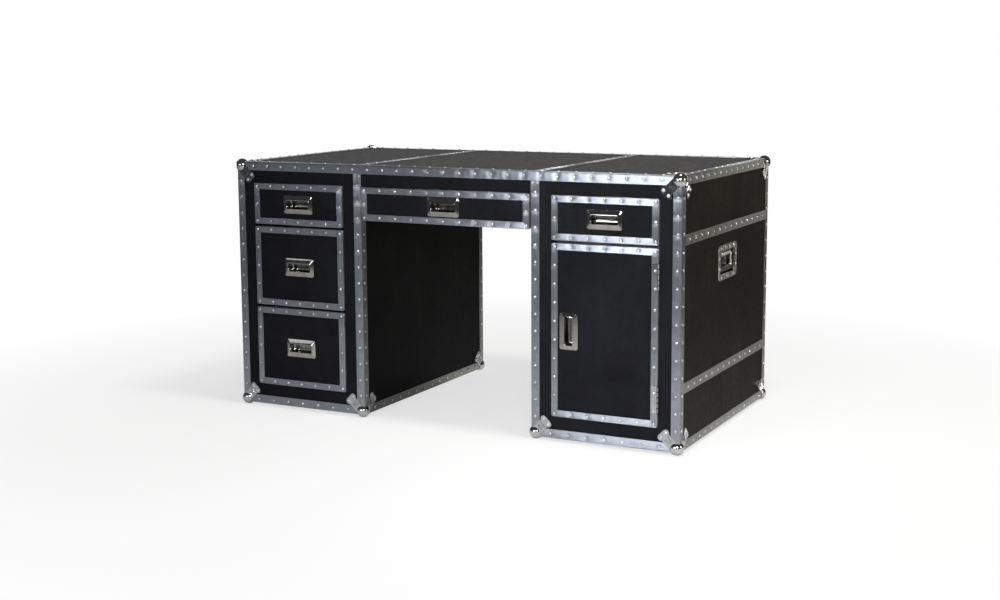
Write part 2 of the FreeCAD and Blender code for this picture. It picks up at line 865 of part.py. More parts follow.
def carrying_handles():
    dish = [on_end(handle_dish())]
    saddle = [on_end(handle_saddle())]
    bail = [on_end(handle_bail())]
    grip = [on_end(handle_grip())]
    return {
        "right_handle_dish": dish,
        "left_handle_dish": mirrored(dish),
        "handle_saddles": saddle + mirrored(saddle),
        "right_handle_bail": bail,
        "left_handle_bail": mirrored(bail),
        "right_handle_grip": grip,
        "left_handle_grip": mirrored(grip),
    }


def main():
    os.makedirs("parts", exist_ok=True)
    for group in (carcass(), drawers_and_runners(), door_and_hinges(), carrying_handles()):
        for name, shapes in group.items():
            solids = [solid for shape in shapes for solid in shape.Solids]
            Part.makeCompound(solids).exportStep("parts/" + name + ".step")


main()
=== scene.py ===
import json
import math

import bmesh
import bpy
from mathutils import Matrix, Vector


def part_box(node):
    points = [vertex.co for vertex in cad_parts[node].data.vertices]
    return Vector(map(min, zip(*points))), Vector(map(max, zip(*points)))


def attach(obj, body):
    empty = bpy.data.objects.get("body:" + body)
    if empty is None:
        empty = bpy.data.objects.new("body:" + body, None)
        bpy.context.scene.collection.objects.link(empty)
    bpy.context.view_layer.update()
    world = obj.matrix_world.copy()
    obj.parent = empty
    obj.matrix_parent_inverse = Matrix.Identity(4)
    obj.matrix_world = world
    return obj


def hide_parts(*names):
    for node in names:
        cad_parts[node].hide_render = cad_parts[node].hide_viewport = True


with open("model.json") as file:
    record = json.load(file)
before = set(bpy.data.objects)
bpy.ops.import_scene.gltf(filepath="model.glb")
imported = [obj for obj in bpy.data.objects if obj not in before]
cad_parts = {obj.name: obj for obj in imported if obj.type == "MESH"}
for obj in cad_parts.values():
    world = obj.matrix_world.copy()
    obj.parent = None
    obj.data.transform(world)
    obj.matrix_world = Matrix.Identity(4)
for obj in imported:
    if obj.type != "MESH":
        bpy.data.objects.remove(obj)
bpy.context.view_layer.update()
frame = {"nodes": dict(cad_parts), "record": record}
nodes = frame["nodes"]
scene = bpy.context.scene

# Sizes, in metres
mm = 0.001
weld_distance = 0.002 * mm
strip_width = 27.0 * mm
strip_thick = 1.5 * mm
edge_round = 3.2 * mm
strip_ease = 0.4 * mm
band_width = 30.0 * mm
band_inset = 180.0 * mm
top_rail = 63.5 * mm

trim_width = 20.5 * mm
trim_wall = 1.2 * mm
trim_corner = 6.0 * mm
trim_round = 2.4 * mm
trim_mitre_gap = 0.25 * mm
trim_rivet_inset = 10.4 * mm

rivet_radius = 4.7 * mm
rivet_height = 3.0 * mm
rivet_end = 61.0 * mm
knee_rivet_inset = 6.0 * mm
trim_rivet_pitch = 54.0 * mm
saddle_rivet_pitch = 17.0 * mm

ball_radius = 21.0 * mm
ball_inset = 12.0 * mm
ball_sink = 0.6 * mm
leg_thick = 1.6 * mm
leg_root = 1.4 * mm
leg_ease = 0.5 * mm
leg_neck = 30.0 * mm
lobe_near = 41.0 * mm
lobe_far = 56.0 * mm
lobe_radius = 10.0 * mm
lobe_reach = (lobe_near + lobe_far) / math.sqrt(2.0)
lobe_offset = (lobe_far - lobe_near) / math.sqrt(2.0)
bar_width = 2.6 * mm
bar_starts = (39.0 * mm, 53.0 * mm)
bar_half_length = 10.0 * mm
bar_height = 1.5 * mm
rib_ends = (43.0 * mm, 51.5 * mm)
rib_pitch = 6.0 * mm
rib_height = 1.3 * mm

pull_long = 108.0 * mm
pull_high = 57.0 * mm
pull_corner = 7.0 * mm
pull_side_bezel = 12.5 * mm
pull_top_bezel = 15.5 * mm
pull_rim = 0.8 * mm
pull_rise = 4.0 * mm
pull_land = 1.2 * mm
pull_land_corner = 2.0 * mm
pull_depth = 24.0 * mm
pull_wall = 1.2 * mm
pull_round = 6.0 * mm
pull_ease = 0.4 * mm

hinge_high = 78.0 * mm
hinge_leaf_thick = 1.2 * mm
knuckle_wall = 1.5 * mm

dish_corner = 18.0 * mm
dish_flange = 17.0 * mm
dish_flange_thick = 1.5 * mm
dish_depth = 16.0 * mm
dish_wall = 1.2 * mm
dish_inner_corner = 10.0 * mm
dish_round = 4.0 * mm
dish_ease = 0.5 * mm
saddle_wall = 1.2 * mm
saddle_foot = 5.0 * mm

# Depth of the patterns in the finishes
leather_grain = 0.16 * mm
strip_relief = 1.0 * mm
rivet_scratch = 0.01 * mm
ball_swell = 0.02 * mm
leg_swell = 0.04 * mm
plate_swell = 0.12 * mm
hinge_swell = 0.03 * mm
wood_grain = 0.12 * mm
moulded_grain = 0.15 * mm

# Rivet pitch and strip width in the strips' patterns, in millimetres
pattern_pitch = 52.0
pattern_width = 25.0

# Rivets along each kind of strip
upright_rivets = 14
long_rivets = 27
short_rivets = 7
depth_rivets = 14

# Smaller and larger rivets, against those on the strips
knee_rivet_size = 0.8
lobe_rivet_size = 1.15
dish_rivet_size = 0.8
saddle_rivet_size = 0.5

# Shares that place rivets on the hinges, dishes and straps
hinge_rivet_shares = (-0.42, 0.23)
dish_top_shares = (-0.75, -0.25, 0.25, 0.75)
dish_foot_shares = (-0.75, 0.0, 0.75)
dish_side_shares = (-0.35, 0.35)
saddle_rivet_steps = (-1.5, -0.5, 0.5, 1.5)

# Shares of a pressed bar's height: its upright foot, and how far its top is drawn in
bar_foot_share = 0.3
bar_slope_share = 0.4

# Counts and steps in repeated and rounded forms
hinge_knuckles = 5
round_steps = 4
corner_steps = 4
dish_inner_row = 7
ball_segments = 32
ball_rings = 20
rivet_segments = 10
rivet_rings = 6
floor_steps = 64
sharp_angle = math.radians(32.0)

# Faces of the case, read from the frame
edge_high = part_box("top_edge_strips")[1]
knee_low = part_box("right_edge_strips")[0]
half_width = edge_high.x
half_depth = edge_high.y
top_level = edge_high.z
knee_face = knee_low.x
foot_level = knee_low.z
case_height = top_level - foot_level
case_depth = 2 * half_depth
pedestal_width = half_width - knee_face
centre_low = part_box("centre_drawer_trim")[0].z
open_high = top_level - top_rail

right = Vector((1.0, 0.0, 0.0))
back = Vector((0.0, 1.0, 0.0))
up = Vector((0.0, 0.0, 1.0))


# Shader and geometry nodes
class Field:
    """A node's output; sums and products of fields add Math nodes to their tree."""

    def __init__(self, kit, socket):
        self.kit = kit
        self.socket = socket

    def other(self, outlet):
        """Another output of the same node."""
        return Field(self.kit, self.socket.node.outputs[outlet])

    def math(self, operation, *values):
        return self.kit.node("ShaderNodeMath", {"operation": operation}, dict(enumerate(values)))

    def __add__(self, value):
        return self.math("ADD", self, value)

    __radd__ = __add__

    def __sub__(self, value):
        return self.math("SUBTRACT", self, value)

    def __rsub__(self, value):
        return self.math("SUBTRACT", value, self)

    def __mul__(self, value):
        return self.math("MULTIPLY", self, value)

    __rmul__ = __mul__

    def __truediv__(self, value):
        return self.math("DIVIDE", self, value)

    def __rpow__(self, value):
        return self.math("POWER", value, self)

    def largest(self, value):
        return self.math("MAXIMUM", self, value)

    def wrapped(self):
        """The signed distance to the nearest whole number."""
        return self.math("FRACT", self + 0.5) - 0.5


class Kit:
    """Makes nodes in one tree and links them."""

    def __init__(self, tree):
        self.tree = tree

    def node(self, kind, settings=None, sockets=None, outlet=0):
        made = self.tree.nodes.new(kind)
        for key, value in (settings or {}).items():
            setattr(made, key, value)
        self.fill(made, sockets or {})
        return Field(self, made.outputs[outlet])

    def fill(self, made, sockets):
        for key, value in sockets.items():
            if isinstance(value, Field):
                self.tree.links.new(value.socket, made.inputs[key])
            else:
                made.inputs[key].default_value = value

    def split(self, vector):
        """A vector's X, with its Y and Z as other outputs."""
        return self.node("ShaderNodeSeparateXYZ", {}, {0: vector}, "X")

    def remap(self, value, low, high, start=0.0, end=1.0):
        sockets = {"Value": value, "From Min": low, "From Max": high, "To Min": start, "To Max": end}
        return self.node("ShaderNodeMapRange", {"clamp": True}, sockets)


class Finish(Kit):
    """One material, with the few patterns that the finishes share."""

    def __init__(self, name):
        self.material = bpy.data.materials.new(name)
        self.material.use_nodes = True
        Kit.__init__(self, self.material.node_tree)
        self.shader = self.tree.nodes["Principled BSDF"]

    def place(self):
        return self.node("ShaderNodeTexCoord", outlet="Object")

    def strip_place(self):
        return self.node("ShaderNodeUVMap", {"uv_map": "strip"})

    def stretched(self, place, scale):
        return self.node("ShaderNodeMapping", {}, {"Vector": place, "Scale": scale})

    def noise(self, place, scale, detail=2.0, roughness=0.5):
        sockets = {"Vector": place, "Scale": scale, "Detail": detail, "Roughness": roughness}
        return self.node("ShaderNodeTexNoise", {}, sockets)

    def smear(self, place):
        """Long cloudy marks that a cloth leaves on plating."""
        return self.noise(self.stretched(place, (60.0, 60.0, 24.0)), 1.0, 4.0, 0.6)

    def on_ends(self):
        """One on faces that look to the left or right, and zero on the others."""
        sideways = self.split(self.node("ShaderNodeNewGeometry", outlet="Normal"))
        return self.remap(sideways * sideways, 0.4, 0.9)

    def blend(self, factor, first, second):
        settings = {"data_type": "RGBA"}
        sockets = {0: factor, 6: colour(first), 7: colour(second)}
        return self.node("ShaderNodeMix", settings, sockets, 2)

    def bump(self, height, distance):
        return self.node("ShaderNodeBump", {}, {"Height": height, "Distance": distance})

    def surface(self, sockets):
        self.fill(self.shader, sockets)
        return self.material


def colour(value):
    return value if isinstance(value, Field) else (*value, 1.0)


# Finishes
def black_leather(name, dark, light):
    """Grained leather in its own two shades, browner on the ends from rubbed wear and painted warm side
    light, and made nearly black in the kneehole as painted shade.
    """
    finish = Finish(name)
    place = finish.place()
    cloud = finish.noise(place, 7.0, 4.0, 0.6)
    mottle = finish.noise(place, 55.0, 4.0, 0.6)
    rub = finish.noise(finish.stretched(place, (30.0, 30.0, 1.8)), 1.0, 5.0, 0.6)
    pores = finish.node("ShaderNodeTexVoronoi", {}, {"Vector": place, "Scale": 640.0})
    wrinkle = finish.noise(place, 300.0, 3.0, 0.6)
    worn = finish.remap(rub, 0.52, 0.78) * finish.remap(cloud, 0.35, 0.7)
    tone = finish.remap(cloud, 0.3, 0.75) * 0.5 + finish.remap(mottle, 0.35, 0.7) * 0.3 + worn * 0.4
    front_tone = finish.blend(tone, dark, light)
    # Faces between the pedestals get a far darker colour: painted shade in the kneehole.
    across = finish.split(place)
    outside = finish.remap(across * across, knee_face * knee_face, half_width * half_width)
    knee_painted_shade_tone = finish.blend(tone, (0.0017, 0.0017, 0.0017), (0.0066, 0.0064, 0.006))
    # A browner copy on the ends: partly rubbed wear, partly painted warm side light.
    rubbed_and_side_lit_tone = finish.blend(tone, (0.0036, 0.0029, 0.0018), (0.0158, 0.0134, 0.0094))
    end_tone = finish.blend(outside, knee_painted_shade_tone, rubbed_and_side_lit_tone)
    grain = pores * 0.5 + wrinkle * 0.6 + mottle * 0.3
    return finish.surface({
        "Base Color": finish.blend(finish.on_ends(), front_tone, end_tone),
        "Roughness": 0.48 + 0.12 * finish.remap(mottle, 0.3, 0.7) - 0.08 * worn,
        "Specular IOR Level": 0.05,
        "Normal": finish.bump(grain, leather_grain),
    })


def strip_metal(name, shade, bright, brush_turn):
    """Thin metal brushed along its strip, pulled in a little round each rivet, with painted shade round each
    rivet head and painted warm side light on the ends.
    """
    finish = Finish(name)
    run = finish.split(finish.strip_place())
    along = run * pattern_pitch
    across = run.other("Y") * pattern_width
    from_rivet = run.wrapped() * pattern_pitch
    from_line = run.other("Y").wrapped() * pattern_width
    apart = from_rivet * from_rivet + from_line * from_line
    dent = math.e ** (apart * -0.012)
    # Falls off fast round each rivet; below, it darkens the colour round each rivet head as painted shade.
    ring = math.e ** (apart * -0.045)
    streak_place = finish.node("ShaderNodeCombineXYZ", {}, {"X": along * 0.035, "Y": across * 2.6})
    streak = finish.noise(streak_place, 1.0, 4.0, 0.6)
    place = finish.place()
    wave = finish.noise(place, 16.0, 2.0)
    stain = finish.noise(place, 42.0, 5.0, 0.65)
    height = streak * 0.04 + wave * 0.5 - dent * 0.65
    tone = finish.remap(streak, 0.25, 0.75) * 0.55 + finish.remap(stain, 0.3, 0.7) * 0.45
    # Ends get a darker, yellower copy: painted warm side light and shade.
    end_tone = finish.blend(tone, (0.18, 0.178, 0.164), (0.36, 0.355, 0.325))
    side_lit_tone = finish.blend(finish.on_ends(), finish.blend(tone, shade, bright), end_tone)
    return finish.surface({
        "Base Color": finish.blend(ring * 0.45, side_lit_tone, (0.07, 0.07, 0.075)),
        "Metallic": 1.0,
        "Roughness": 0.33 + 0.08 * finish.remap(stain, 0.3, 0.75) + 0.06 * streak,
        "Anisotropic": 0.92,
        "Anisotropic Rotation": brush_turn,
        "Normal": finish.bump(height, strip_relief),
    })


def rivet_metal():
    """Plated rivet heads, a little dulled and stained."""
    finish = Finish("rivet_metal")
    place = finish.place()
    stain = finish.noise(place, 90.0, 4.0, 0.6)
    scratch = finish.noise(place, 900.0, 3.0, 0.6)
    return finish.surface({
        "Base Color": finish.blend(finish.remap(stain, 0.3, 0.7), (0.54, 0.55, 0.57), (0.7, 0.71, 0.73)),
        "Metallic": 1.0,
        "Roughness": 0.27 + 0.08 * finish.remap(stain, 0.35, 0.75),
        "Normal": finish.bump(scratch, rivet_scratch),
    })


def bright_plate(name, shade, bright, low, high, swelling=plate_swell):
    """Polished plating with faint smears and wipe marks."""
    finish = Finish(name)
    place = finish.place()
    smear = finish.smear(place)
    wipe = finish.noise(finish.stretched(place, (40.0, 400.0, 700.0)), 1.0, 3.0, 0.6)
    swell = finish.noise(place, 60.0, 2.0)
    return finish.surface({
        "Base Color": finish.blend(finish.remap(smear, 0.3, 0.7), shade, bright),
        "Metallic": 1.0,
        "Roughness": finish.remap(smear * 0.7 + wipe * 0.3, 0.35, 0.7, low, high),
        "Normal": finish.bump(swell + wipe * 0.02, swelling),
    })


def hinge_metal():
    """Plated leaves, with duller knuckles and painted shade in the gaps where they meet."""
    finish = Finish("hinge_plate")
    place = finish.place()
    smear = finish.smear(place)
    swell = finish.noise(place, 60.0, 2.0)
    across = finish.split(place)
    barrel_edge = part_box("hinge_pins")[0].x - knuckle_wall
    barrel = finish.remap(across, barrel_edge, barrel_edge + mm)
    low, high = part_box("hinge_door_leaves")
    middle = (low.z + high.z) / 2
    level = across.other("Z")
    upper = finish.remap(level, middle - mm, middle + mm)
    from_end = level - low.z - upper * (high.z - low.z - hinge_high)
    from_joint = (from_end / (hinge_high / hinge_knuckles)).wrapped()
    # Dark bands where the knuckles meet: painted shade in the gaps.
    knuckle_gap_shade = finish.remap(from_joint * from_joint, 0.02, 0.005)
    knuckle = finish.blend(knuckle_gap_shade, (0.27, 0.266, 0.25), (0.03, 0.029, 0.026))
    leaf = finish.blend(finish.remap(smear, 0.3, 0.7), (0.36, 0.363, 0.38), (0.46, 0.464, 0.48))
    return finish.surface({
        "Base Color": finish.blend(barrel, leaf, knuckle),
        "Metallic": 1.0,
        "Roughness": finish.remap(smear, 0.35, 0.7, 0.1, 0.18) + 0.22 * barrel,
        "Normal": finish.bump(swell, hinge_swell),
    })


def wood(name, dark, light, roughness, along):
    """Boards with long grain lines and pores that run along one axis."""
    finish = Finish(name)
    place = finish.place()
    grain_scale = [70.0, 70.0, 70.0]
    grain_scale[along] = 2.6
    pore_scale = [700.0, 700.0, 700.0]
    pore_scale[along] = 18.0
    bend = finish.noise(place, 3.0, 3.0)
    grain = finish.noise(finish.stretched(place, grain_scale), 1.0, 6.0, 0.65)
    pores = finish.noise(finish.stretched(place, pore_scale), 1.0, 2.0)
    tone = finish.remap(grain * 0.75 + bend * 0.25, 0.32, 0.68)
    shaded = tone - 0.3 * finish.remap(pores, 0.58, 0.75)
    return finish.surface({
        "Base Color": finish.blend(shaded, dark, light),
        "Roughness": roughness + 0.12 * finish.remap(pores, 0.4, 0.7),
        "Normal": finish.bump(grain * 0.6 + pores * 0.4, wood_grain),
    })


def moulded(name, dark, light, roughness, cell):
    """Rubber or plastic with a fine moulded grain."""
    finish = Finish(name)
    place = finish.place()
    grain = finish.node("ShaderNodeTexVoronoi", {}, {"Vector": place, "Scale": cell})
    cloud = finish.noise(place, 40.0, 4.0, 0.6)
    return finish.surface({
        "Base Color": finish.blend(finish.remap(cloud, 0.3, 0.7), dark, light),
        "Roughness": roughness + 0.12 * finish.remap(cloud, 0.35, 0.7),
        "Normal": finish.bump(grain, moulded_grain),
    })


leather = black_leather("black_leather", (0.0042, 0.0043, 0.0055), (0.0115, 0.0117, 0.0142))
# The top's copy of the leather is lighter and warmer: painted light on the top.
top_leather = black_leather("top_leather", (0.007, 0.0063, 0.0042), (0.018, 0.0162, 0.012))
# The standing copy is a little lighter than the lying one: painted light on the upright strips.
lying_metal = strip_metal("lying_metal", (0.196, 0.208, 0.238), (0.391, 0.411, 0.466), 0.25)
standing_metal = strip_metal("standing_metal", (0.215, 0.226, 0.25), (0.413, 0.431, 0.475), 0.0)
strip_metals = [lying_metal, standing_metal]
rivet_head = rivet_metal()
ball_plate = bright_plate("ball_plate", (0.42, 0.422, 0.43), (0.54, 0.542, 0.55), 0.02, 0.05, ball_swell)
leg_plate = bright_plate("leg_plate", (0.34, 0.345, 0.36), (0.47, 0.475, 0.49), 0.05, 0.1, leg_swell)
pull_plate = bright_plate("pull_plate", (0.28, 0.273, 0.253), (0.42, 0.41, 0.385), 0.04, 0.11)
# A darker copy of the plating for the cups and dish floors: painted shade in the recesses.
shaded_cup_plate = bright_plate("shaded_cup_plate", (0.14, 0.137, 0.13), (0.24, 0.235, 0.222), 0.08, 0.2)
handle_plate = bright_plate("handle_plate", (0.64, 0.628, 0.588), (0.84, 0.824, 0.776), 0.2, 0.36)
hinge_plate = hinge_metal()
dark_board = wood("dark_board", (0.007, 0.0062, 0.0055), (0.034, 0.029, 0.024), 0.5, 2)
drawer_wood = wood("drawer_wood", (0.20, 0.12, 0.062), (0.40, 0.275, 0.16), 0.42, 1)
catch_plastic = moulded("catch_plastic", (0.02, 0.02, 0.021), (0.045, 0.045, 0.046), 0.42, 900.0)
grip_rubber = moulded("grip_rubber", (0.008, 0.008, 0.0085), (0.02, 0.02, 0.02), 0.5, 700.0)

slot_finishes = {
    "leather": leather,
    "aluminium": lying_metal,
    "chrome": handle_plate,
    "hinge_steel": hinge_plate,
    "board": dark_board,
    "drawer_wood": drawer_wood,
    "catch_plastic": catch_plastic,
    "grip_rubber": grip_rubber,
}


# Building meshes
class Skin:
    """Vertices, faces and strip places of one piece, gathered part by part."""

    def __init__(self):
        self.points = []
        self.places = []
        self.faces = []
        self.finishes = []

    def face(self, corners, finish):
        self.faces.append(tuple(corners))
        self.finishes.append(finish)

    def tube(self, rings, places=None, finish=0, closed=True):
        """A tube through rings of equal length, with both ends closed unless its rings meet again."""
        start = len(self.points)
        count = len(rings[0])
        for row, ring in enumerate(rings):
            self.points.extend(ring)
            self.places.extend(places[row] if places else [(0.0, 0.0)] * count)
        for row in range(len(rings) - 1):
            low = start + row * count
            high = low + count
            for column in range(count):
                after = (column + 1) % count
                self.face((low + column, low + after, high + after, high + column), finish)
        if closed:
            self.face(range(start + count - 1, start - 1, -1), finish)
            last = start + (len(rings) - 1) * count
            self.face(range(last, last + count), finish)

    def piece(self, name, finishes, body, node):
        """Makes the gathered faces an object that rides on a body and stands for a CAD node."""
        mesh = bpy.data.meshes.new(name)
        mesh.from_pydata(self.points, [], self.faces)
        for finish in finishes:
            mesh.materials.append(finish)
        mesh.polygons.foreach_set("material_index", self.finishes)
        layer = mesh.uv_layers.new(name="strip")
        for loop in mesh.loops:
            layer.data[loop.index].uv = self.places[loop.vertex_index]
        form = bmesh.new()
        form.from_mesh(mesh)
        bmesh.ops.remove_doubles(form, verts=form.verts, dist=weld_distance)
        bmesh.ops.dissolve_degenerate(form, edges=form.edges, dist=weld_distance)
        bmesh.ops.recalc_face_normals(form, faces=form.faces)
        for face in form.faces:
            face.smooth = True
        for edge in form.edges:
            edge.smooth = len(edge.link_faces) == 2 and edge.calc_face_angle(0.0) < sharp_angle
        form.to_mesh(mesh)
        form.free()
        made = bpy.data.objects.new(name, mesh)
        scene.collection.objects.link(made)
        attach(made, body)
        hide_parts(node)


def spread(count, length, end):
    """Even places along a length, the first and last the same distance from its ends."""
    return [end + (length - 2 * end) * step / (count - 1) for step in range(count)]


def rounded_ring(long, high, corner):
    """A rounded rectangle's points about its middle."""
    points = []
    for quarter in range(4):
        middle = Vector((long / 2 - corner, high / 2 - corner))
        if quarter in (1, 2):
            middle.x = -middle.x
        if quarter in (2, 3):
            middle.y = -middle.y
        for step in range(corner_steps + 1):
            turn = math.pi / 2 * (quarter + step / corner_steps)
            points.append(middle + corner * Vector((math.cos(turn), math.sin(turn))))
    return points


# Rivets, gathered body by body
rivets = {}


def add_rivet(body, place, facing, size=1.0):
    rivets.setdefault(body, []).append((place, facing, size))


def rivet_tree():
    """Geometry nodes that put a domed head on every vertex, facing the way the vertex says."""
    tree = bpy.data.node_groups.new("rivet_heads", "GeometryNodeTree")
    kinds = {
        "Places": "NodeSocketGeometry", "Head Radius": "NodeSocketFloat",
        "Head Height": "NodeSocketFloat", "Metal": "NodeSocketMaterial",
    }
    for name, kind in kinds.items():
        tree.interface.new_socket(name, in_out="INPUT", socket_type=kind)
    tree.interface.new_socket("Rivets", in_out="OUTPUT", socket_type="NodeSocketGeometry")
    kit = Kit(tree)
    given = kit.node("NodeGroupInput", outlet="Places")
    sockets = {"Segments": rivet_segments, "Rings": rivet_rings, "Radius": 1.0}
    ball = kit.node("GeometryNodeMeshUVSphere", {}, sockets)
    part = kit.split(kit.node("GeometryNodeInputPosition"))
    dome_place = kit.node("ShaderNodeCombineXYZ", {}, {
        "X": part * given.other("Head Radius"),
        "Y": part.other("Y") * given.other("Head Radius"),
        "Z": part.other("Z").largest(0.0) * given.other("Head Height"),
    })
    dome = kit.node("GeometryNodeSetPosition", {}, {"Geometry": ball, "Position": dome_place})
    facing = kit.node("GeometryNodeInputNamedAttribute", {"data_type": "FLOAT_VECTOR"}, {"Name": "facing"})
    turn = kit.node("FunctionNodeAlignRotationToVector", {"axis": "Z"}, {"Vector": facing})
    size = kit.node("GeometryNodeInputNamedAttribute", {"data_type": "FLOAT"}, {"Name": "size"})
    sockets = {"Points": given, "Instance": dome, "Rotation": turn, "Scale": size}
    heads = kit.node("GeometryNodeInstanceOnPoints", {}, sockets)
    real = kit.node("GeometryNodeRealizeInstances", {}, {"Geometry": heads})
    smooth = kit.node("GeometryNodeSetShadeSmooth", {}, {"Geometry": real})
    metal = kit.node("GeometryNodeSetMaterial", {}, {"Geometry": smooth, "Material": given.other("Metal")})
    kit.fill(tree.nodes.new("NodeGroupOutput"), {"Rivets": metal})
    return tree


def rivet_piece(body, spots, tree):
    """All rivets of one body as a plain mesh."""
    mesh = bpy.data.meshes.new(body + "_rivet_places")
    mesh.from_pydata([place for place, facing, size in spots], [], [])
    mesh.attributes.new("facing", "FLOAT_VECTOR", "POINT")
    mesh.attributes.new("size", "FLOAT", "POINT")
    for index, (place, facing, size) in enumerate(spots):
        mesh.attributes["facing"].data[index].vector = facing
        mesh.attributes["size"].data[index].value = size
    carrier = bpy.data.objects.new(body + "_rivet_places", mesh)
    scene.collection.objects.link(carrier)
    heads = carrier.modifiers.new("heads", "NODES")
    heads.node_group = tree
    values = {"Head Radius": rivet_radius, "Head Height": rivet_height, "Metal": rivet_head}
    for item in tree.interface.items_tree:
        if item.name in values:
            heads[item.identifier] = values[item.name]
    bpy.context.view_layer.update()
    depsgraph = bpy.context.evaluated_depsgraph_get()
    made_mesh = bpy.data.meshes.new_from_object(carrier.evaluated_get(depsgraph))
    carrier.modifiers.remove(heads)
    bpy.data.objects.remove(carrier)
    made = bpy.data.objects.new(body + "_rivets", made_mesh)
    scene.collection.objects.link(made)
    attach(made, body)


# Metal strips on the case's edges
def standing(along):
    """One for an upright strip and zero for a lying one, which picks its finish."""
    return int(abs(along.z) > 0.5)


class Run:
    """A strip's edge on the case: its start, its direction, its two inward sides and its rivets."""

    def __init__(self, corner, along, first_in, second_in, spots, width=strip_width):
        self.corner = corner
        self.along = along
        self.first_in = first_in
        self.second_in = second_in
        self.spots = spots
        self.width = width

    def point(self, distance, first, second):
        return self.corner + self.along * distance + self.first_in * first + self.second_in * second

    def place(self, distance, first, second):
        """Rivets counted along, and strip widths counted round the profile."""
        across = self.width / 2 - first if second <= first else self.width / 2 + second
        pitch = self.spots[1] - self.spots[0]
        return (distance - self.spots[0]) / pitch, across / self.width

    def sweep(self, skin, profile, start, end, mitres):
        """Skins a profile between two distances, cut square (0) or to a mitre (1) at each end."""
        rings = []
        places = []
        for distance, sign, mitre in ((start, 1, mitres[0]), (end, -1, mitres[1])):
            lead = [distance + sign * mitre * max(pair) for pair in profile]
            rings.append([self.point(s, *pair) for s, pair in zip(lead, profile)])
            places.append([self.place(s, *pair) for s, pair in zip(lead, profile)])
        skin.tube(rings, places, standing(self.along))

    def add_rivets(self, end, on_second=False):
        """Rivets along the first or second flange, up to a distance from its start."""
        across = (0.0, self.width / 2) if on_second else (self.width / 2, 0.0)
        facing = -self.first_in if on_second else -self.second_in
        for spot in self.spots:
            if spot < end:
                add_rivet("carcass", self.point(spot, *across), facing)


def angle_profile():
    """Cross-section of an edge angle: two flanges that meet in a rounded corner."""
    edge = strip_width - strip_ease
    points = [(strip_width, strip_thick), (strip_width, strip_ease), (edge, 0.0)]
    for step in range(round_steps + 1):
        turn = math.pi / 2 * step / round_steps
        points.append((edge_round * (1 - math.sin(turn)), edge_round * (1 - math.cos(turn))))
    points += [(0.0, edge), (strip_ease, strip_width), (strip_thick, strip_width)]
    return points + [(strip_thick, strip_thick)]


def flat_profile(width):
    """Cross-section of a flat strip with eased edges."""
    return [
        (0.0, strip_thick), (0.0, strip_ease), (strip_ease, 0.0),
        (width - strip_ease, 0.0), (width, strip_ease), (width, strip_thick),
    ]


def edge_angle(skin, corner, along, first_in, second_in, length, count):
    """A riveted angle along a whole edge, mitred at both ends."""
    run = Run(corner, along, first_in, second_in, spread(count, length, rivet_end))
    run.sweep(skin, angle_profile(), 0.0, length, (1, 1))
    run.add_rivets(length)
    run.add_rivets(length, True)


def flat_strip(skin, corner, first_in, second_in, width):
    """A riveted flat strip from the front angle to the back one, cut square."""
    length = case_depth - 2 * strip_width
    spots = spread(depth_rivets, length, rivet_end - strip_width)
    run = Run(corner, back, first_in, second_in, spots, width)
    run.sweep(skin, flat_profile(width), 0.0, length, (0, 0))
    run.add_rivets(length)


def knee_angle(skin, corner, out, inward, end):
    """An upright at the kneehole: its face flange goes on up to the top strip."""
    run = Run(corner, up, out, inward, spread(upright_rivets, case_height, rivet_end))
    flange_end = end - foot_level
    face_end = case_height - strip_width
    run.sweep(skin, angle_profile(), 0.0, flange_end, (1, 0))
    run.sweep(skin, flat_profile(strip_width), flange_end, face_end, (0, 0))
    run.add_rivets(face_end - knee_rivet_inset)
    run.add_rivets(flange_end - rivet_radius, True)
    for across in (knee_rivet_inset, strip_width - knee_rivet_inset):
        spot = run.point(face_end - knee_rivet_inset, across, 0.0)
        add_rivet("carcass", spot, -inward, knee_rivet_size)


def pedestal_strips(hand, name, node):
    """Angles on a pedestal's uprights and round its foot."""
    skin = Skin()
    out = hand * right
    for y, inward, end in ((-half_depth, back, open_high), (half_depth, -back, centre_low)):
        outer = Vector((hand * half_width, y, foot_level))
        inner = Vector((hand * knee_face, y, foot_level))
        edge_angle(skin, outer, up, -out, inward, case_height, upright_rivets)
        edge_angle(skin, inner, out, inward, up, pedestal_width, short_rivets)
        knee_angle(skin, inner, out, inward, end)
    for x, inward in ((half_width, -out), (knee_face, out)):
        corner = Vector((hand * x, -half_depth, foot_level))
        edge_angle(skin, corner, back, inward, up, case_depth, depth_rivets)
    skin.piece(name, strip_metals, "carcass", node)


def top_strips():
    """Angles round the top, and the two strips across it."""
    skin = Skin()
    for y, inward in ((-half_depth, back), (half_depth, -back)):
        corner = Vector((-half_width, y, top_level))
        edge_angle(skin, corner, right, inward, -up, 2 * half_width, long_rivets)
    for hand in (-1, 1):
        corner = Vector((hand * half_width, -half_depth, top_level))
        edge_angle(skin, corner, back, -hand * right, -up, case_depth, depth_rivets)
        start = Vector((hand * knee_face, strip_width - half_depth, top_level))
        flat_strip(skin, start, hand * right, -up, strip_width)
    skin.piece("top_angles", strip_metals, "carcass", "top_edge_strips")


def end_bands():
    """Two flat bands across each end."""
    skin = Skin()
    for hand in (-1, 1):
        for level in (foot_level + band_inset, top_level - band_inset):
            corner = Vector((hand * half_width, strip_width - half_depth, level - band_width / 2))
            flat_strip(skin, corner, up, -hand * right, band_width)
    skin.piece("end_bands", strip_metals, "carcass", "side_bands")


